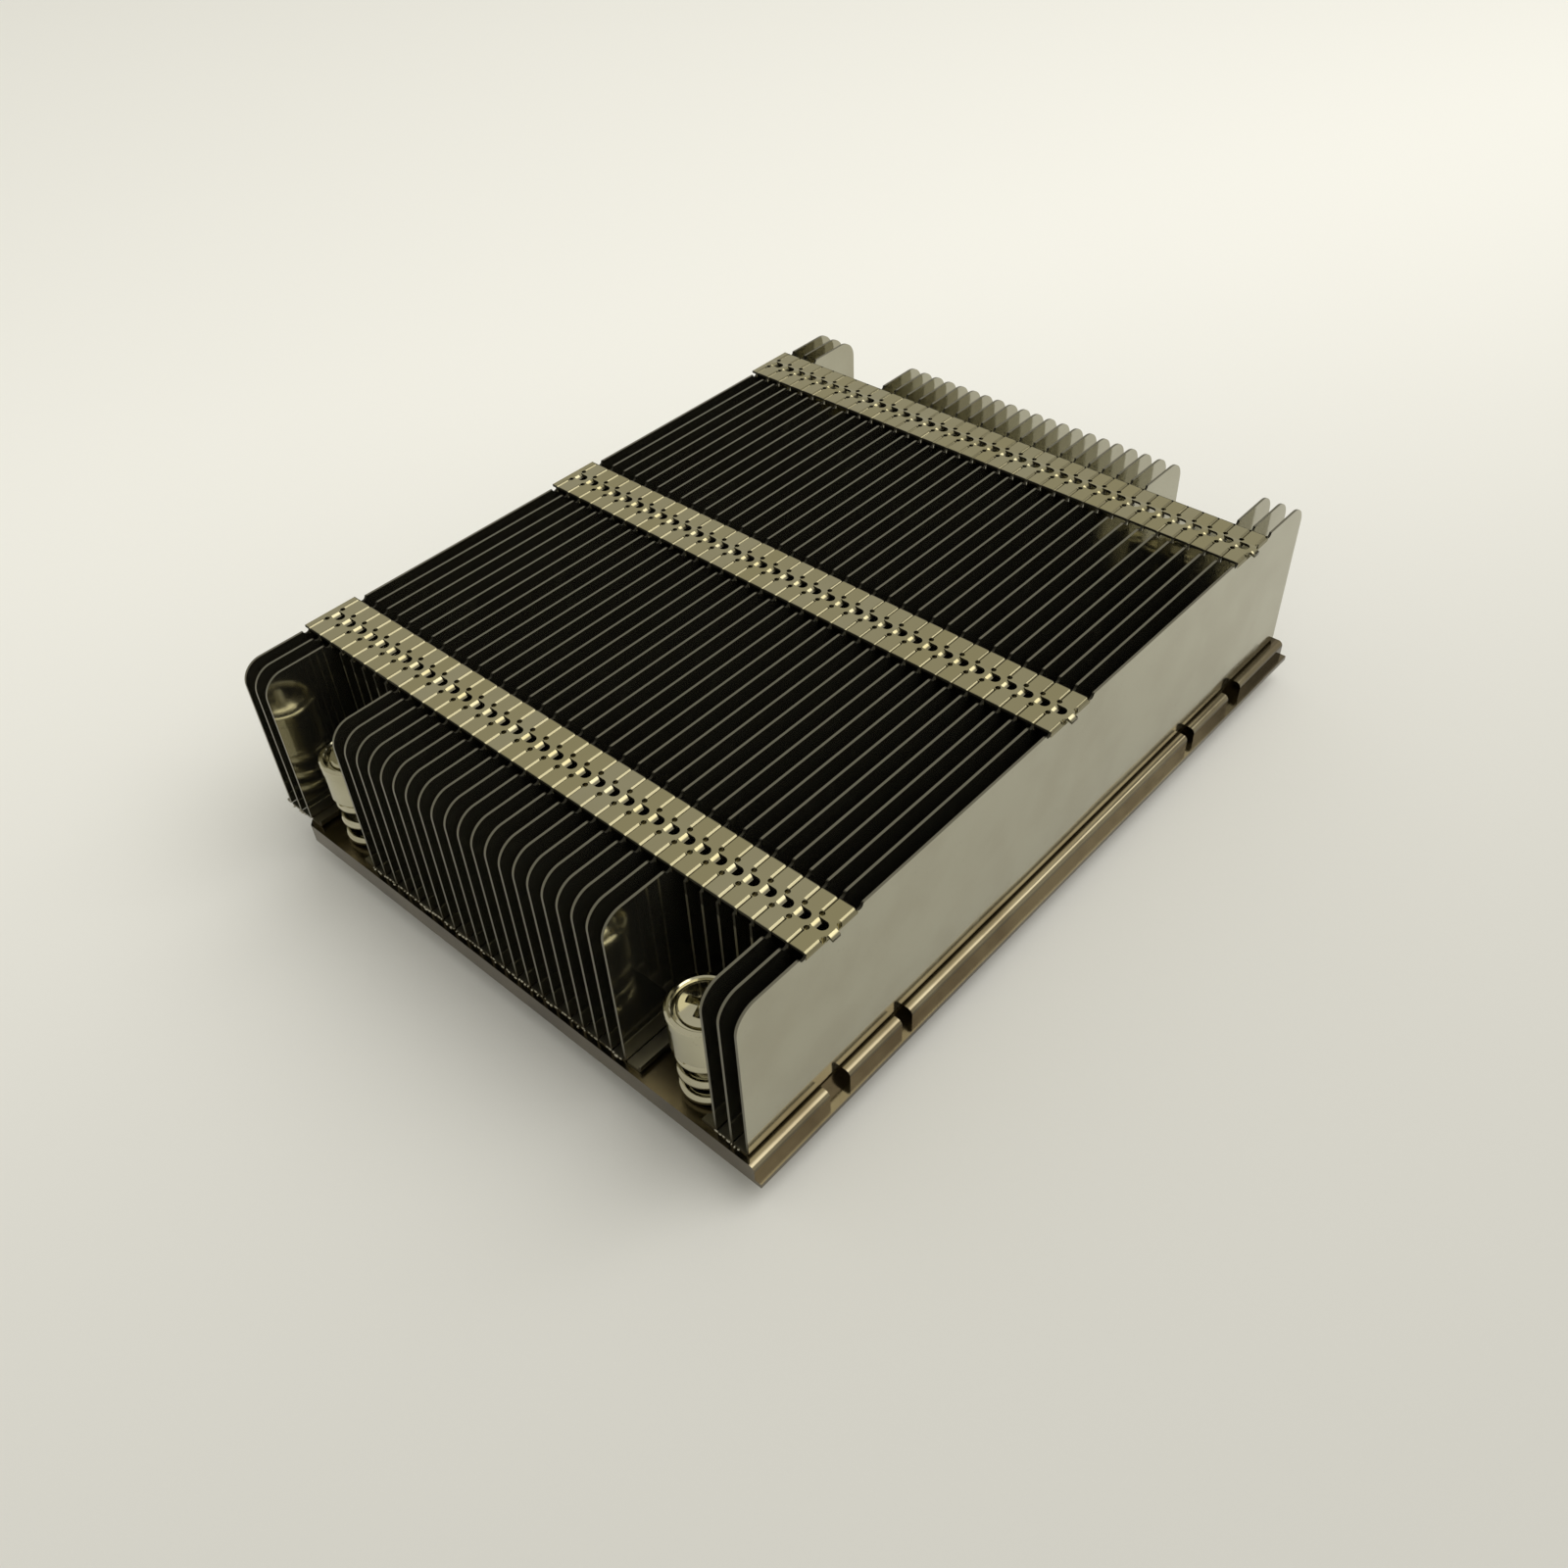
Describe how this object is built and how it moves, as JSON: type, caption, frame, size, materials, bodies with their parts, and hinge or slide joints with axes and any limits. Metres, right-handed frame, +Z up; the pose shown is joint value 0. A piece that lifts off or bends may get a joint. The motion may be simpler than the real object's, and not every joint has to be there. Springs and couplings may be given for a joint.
{
  "type": "cpu heat sink",
  "caption": "Low passive processor cooler with folded zipper fins on a plated base plate and spring-loaded captive screws in corner pockets.",
  "frame": {"origin": "centre of the contact face, which is also the middle of the screw pattern", "axes": "+X across the fins, +Y along the fins, +Z up from the contact face to the fins' tops"},
  "size_m": [0.0793, 0.104, 0.027],
  "materials": {
    "fins": "nickel plated, satin to mirror",
    "base": "nickel plated, bright, ground contact pad",
    "screws": "nickel plated, bright",
    "springs": "nickel plated wire",
    "rings": "spring steel, oiled"
  },
  "bodies": {
    "root": {"base_plate": "base", "fin_01": "fins", "fin_02": "fins", "fin_03": "fins", "fin_04": "fins", "fin_05": "fins", "fin_06": "fins", "fin_07": "fins", "fin_08": "fins", "fin_09": "fins", "fin_10": "fins", "fin_11": "fins", "fin_12": "fins", "fin_13": "fins", "fin_14": "fins", "fin_15": "fins", "fin_16": "fins", "fin_17": "fins", "fin_18": "fins", "fin_19": "fins", "fin_20": "fins", "fin_21": "fins", "fin_22": "fins", "fin_23": "fins", "fin_24": "fins", "fin_25": "fins", "fin_26": "fins", "fin_27": "fins", "fin_28": "fins", "fin_29": "fins", "fin_30": "fins", "fin_31": "fins", "fin_32": "fins", "fin_33": "fins", "fin_34": "fins", "fin_35": "fins", "fin_36": "fins", "fin_37": "fins", "spring_front_left": "springs", "spring_front_right": "springs", "spring_rear_left": "springs", "spring_rear_right": "springs"},
    "ring_front_left": {"retaining_ring_front_left": "rings"},
    "screw_front_left": {"captive_screw_front_left": "screws"},
    "ring_front_right": {"retaining_ring_front_right": "rings"},
    "screw_front_right": {"captive_screw_front_right": "screws"},
    "ring_rear_left": {"retaining_ring_rear_left": "rings"},
    "screw_rear_left": {"captive_screw_rear_left": "screws"},
    "ring_rear_right": {"retaining_ring_rear_right": "rings"},
    "screw_rear_right": {"captive_screw_rear_right": "screws"}
  },
  "joints": [
    {"name": "press_front_left", "type": "slide", "parent": "root", "child": "ring_front_left", "axis": [0, 0, 1], "range_m": [-0.0017, 0], "stiffness_N_per_m": 2000, "springref_m": 0.001, "deforming": ["spring_front_left"]},
    {"name": "turn_front_left", "type": "hinge", "parent": "ring_front_left", "child": "screw_front_left", "pos_m": [-0.028, -0.047, 0.005], "axis": [0, 0, 1], "continuous": true},
    {"name": "press_front_right", "type": "slide", "parent": "root", "child": "ring_front_right", "axis": [0, 0, 1], "range_m": [-0.0017, 0], "stiffness_N_per_m": 2000, "springref_m": 0.001, "deforming": ["spring_front_right"]},
    {"name": "turn_front_right", "type": "hinge", "parent": "ring_front_right", "child": "screw_front_right", "pos_m": [0.028, -0.047, 0.005], "axis": [0, 0, 1], "continuous": true},
    {"name": "press_rear_left", "type": "slide", "parent": "root", "child": "ring_rear_left", "axis": [0, 0, 1], "range_m": [-0.0017, 0], "stiffness_N_per_m": 2000, "springref_m": 0.001, "deforming": ["spring_rear_left"]},
    {"name": "turn_rear_left", "type": "hinge", "parent": "ring_rear_left", "child": "screw_rear_left", "pos_m": [-0.028, 0.047, 0.005], "axis": [0, 0, 1], "continuous": true},
    {"name": "press_rear_right", "type": "slide", "parent": "root", "child": "ring_rear_right", "axis": [0, 0, 1], "range_m": [-0.0017, 0], "stiffness_N_per_m": 2000, "springref_m": 0.001, "deforming": ["spring_rear_right"]},
    {"name": "turn_rear_right", "type": "hinge", "parent": "ring_rear_right", "child": "screw_rear_right", "pos_m": [0.028, 0.047, 0.005], "axis": [0, 0, 1], "continuous": true}
  ]
}
